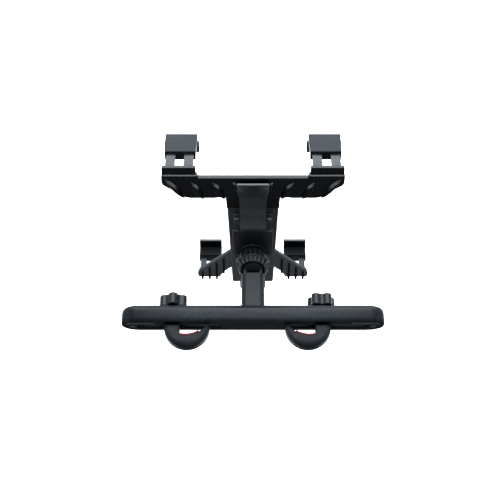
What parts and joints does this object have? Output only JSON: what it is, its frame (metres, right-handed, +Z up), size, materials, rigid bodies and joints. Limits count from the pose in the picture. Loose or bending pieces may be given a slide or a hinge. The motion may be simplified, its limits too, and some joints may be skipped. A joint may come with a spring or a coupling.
{
  "type": "headrest tablet mount",
  "caption": "Tablet holder for a car headrest: cross bar with post hooks and hand knobs, ball-jointed arm, and a telescoping cradle with a lock lever and corner clips.",
  "frame": {"origin": "centre of the cross bar's post-side face", "axes": "+X along the cross bar, +Y from the headrest posts towards the cradle and the passenger, +Z up along the posts"},
  "size_m": [0.215, 0.1603, 0.1281],
  "materials": {
    "body": "satin moulded black plastic",
    "gloss": "smooth moulded black plastic",
    "grip": "black plastic, low sheen",
    "red": "red silicone",
    "rubber": "black rubber",
    "steel": "zinc plated steel",
    "insert": "turned brass",
    "liner": "black acetal"
  },
  "bodies": {
    "mount": {"bar_shell": "body", "bar_track_plate": "body", "bar_screws": "steel", "arm": "body", "arm_screws": "steel", "ball_stud": "gloss"},
    "carriage_left": {"track_slider_left": "body"},
    "hook_left": {"hook_left": "grip", "hook_pad_left": "red", "hook_bolt_left": "steel"},
    "knob_left": {"knob_left": "grip", "knob_insert_left": "insert"},
    "carriage_right": {"track_slider_right": "body"},
    "hook_right": {"hook_right": "grip", "hook_pad_right": "red", "hook_bolt_right": "steel"},
    "knob_right": {"knob_right": "grip", "knob_insert_right": "insert"},
    "ball_cup": {"ball_cup": "liner"},
    "ball_nut": {"ball_nut": "grip"},
    "cradle": {"cradle_housing": "body", "front_frame": "body", "cradle_pad": "rubber", "cradle_screws": "steel", "lever_pin": "steel"},
    "slider": {"top_bar": "body", "slider_strip": "body", "strip_screws": "steel", "top_cover": "body", "top_cover_screws": "steel", "top_pad": "rubber"},
    "lock_lever": {"lock_lever": "gloss"},
    "top_clip_left": {"top_clip_left": "gloss", "top_clip_pad_left": "rubber"},
    "lower_clip_left": {"lower_clip_left": "gloss", "lower_clip_pad_left": "rubber"},
    "top_clip_right": {"top_clip_right": "gloss", "top_clip_pad_right": "rubber"},
    "lower_clip_right": {"lower_clip_right": "gloss", "lower_clip_pad_right": "rubber"}
  },
  "joints": [
    {"name": "hook_along_bar_left", "type": "slide", "parent": "mount", "child": "carriage_left", "axis": [1, 0, 0], "range_m": [-0.02, 0.0315]},
    {"name": "knob_turn_left", "type": "hinge", "parent": "carriage_left", "child": "knob_left", "pos_m": [-0.0655, 0.02075, -0.0012], "axis": [0, 1, 0], "range_deg": [0, 3150]},
    {"name": "hook_clamp_left", "type": "slide", "parent": "carriage_left", "child": "hook_left", "axis": [0, -1, 0], "range_m": [0, 0.007]},
    {"name": "hook_along_bar_right", "type": "slide", "parent": "mount", "child": "carriage_right", "axis": [1, 0, 0], "range_m": [-0.0224, 0.0291]},
    {"name": "knob_turn_right", "type": "hinge", "parent": "carriage_right", "child": "knob_right", "pos_m": [0.0564, 0.02075, -0.0012], "axis": [0, 1, 0], "range_deg": [0, 3150]},
    {"name": "hook_clamp_right", "type": "slide", "parent": "carriage_right", "child": "hook_right", "axis": [0, -1, 0], "range_m": [0, 0.007]},
    {"name": "ball_pan", "type": "hinge", "parent": "mount", "child": "ball_cup", "pos_m": [0, 0.056, 0], "axis": [0, 0, 1], "range_deg": [-12, 12]},
    {"name": "ball_tilt", "type": "hinge", "parent": "ball_cup", "child": "ball_nut", "pos_m": [0, 0.056, 0], "axis": [1, 0, 0], "range_deg": [-6, 45]},
    {"name": "cradle_roll", "type": "hinge", "parent": "ball_nut", "child": "cradle", "pos_m": [0, 0.056, 0], "axis": [0, 0.9397, -0.342], "continuous": true},
    {"name": "cradle_extend", "type": "slide", "parent": "cradle", "child": "slider", "axis": [0, 0.342, 0.9397], "range_m": [0, 0.07]},
    {"name": "lever_swing", "type": "hinge", "parent": "cradle", "child": "lock_lever", "pos_m": [0, 0.07727, 0.0327], "axis": [1, 0, 0], "range_deg": [0, 70]},
    {"name": "top_clip_depth_left", "type": "slide", "parent": "slider", "child": "top_clip_left", "axis": [0, 0.9397, -0.342], "range_m": [-0.009, 0.003]},
    {"name": "lower_clip_depth_left", "type": "slide", "parent": "cradle", "child": "lower_clip_left", "axis": [0, 0.9397, -0.342], "range_m": [-0.006, 0.003]},
    {"name": "top_clip_depth_right", "type": "slide", "parent": "slider", "child": "top_clip_right", "axis": [0, 0.9397, -0.342], "range_m": [-0.009, 0.003]},
    {"name": "lower_clip_depth_right", "type": "slide", "parent": "cradle", "child": "lower_clip_right", "axis": [0, 0.9397, -0.342], "range_m": [-0.006, 0.003]}
  ],
  "couplings": [
    {"joint": "knob_turn_left", "follows": "hook_clamp_left", "rad_per_m": 7854},
    {"joint": "knob_turn_right", "follows": "hook_clamp_right", "rad_per_m": 7854}
  ]
}
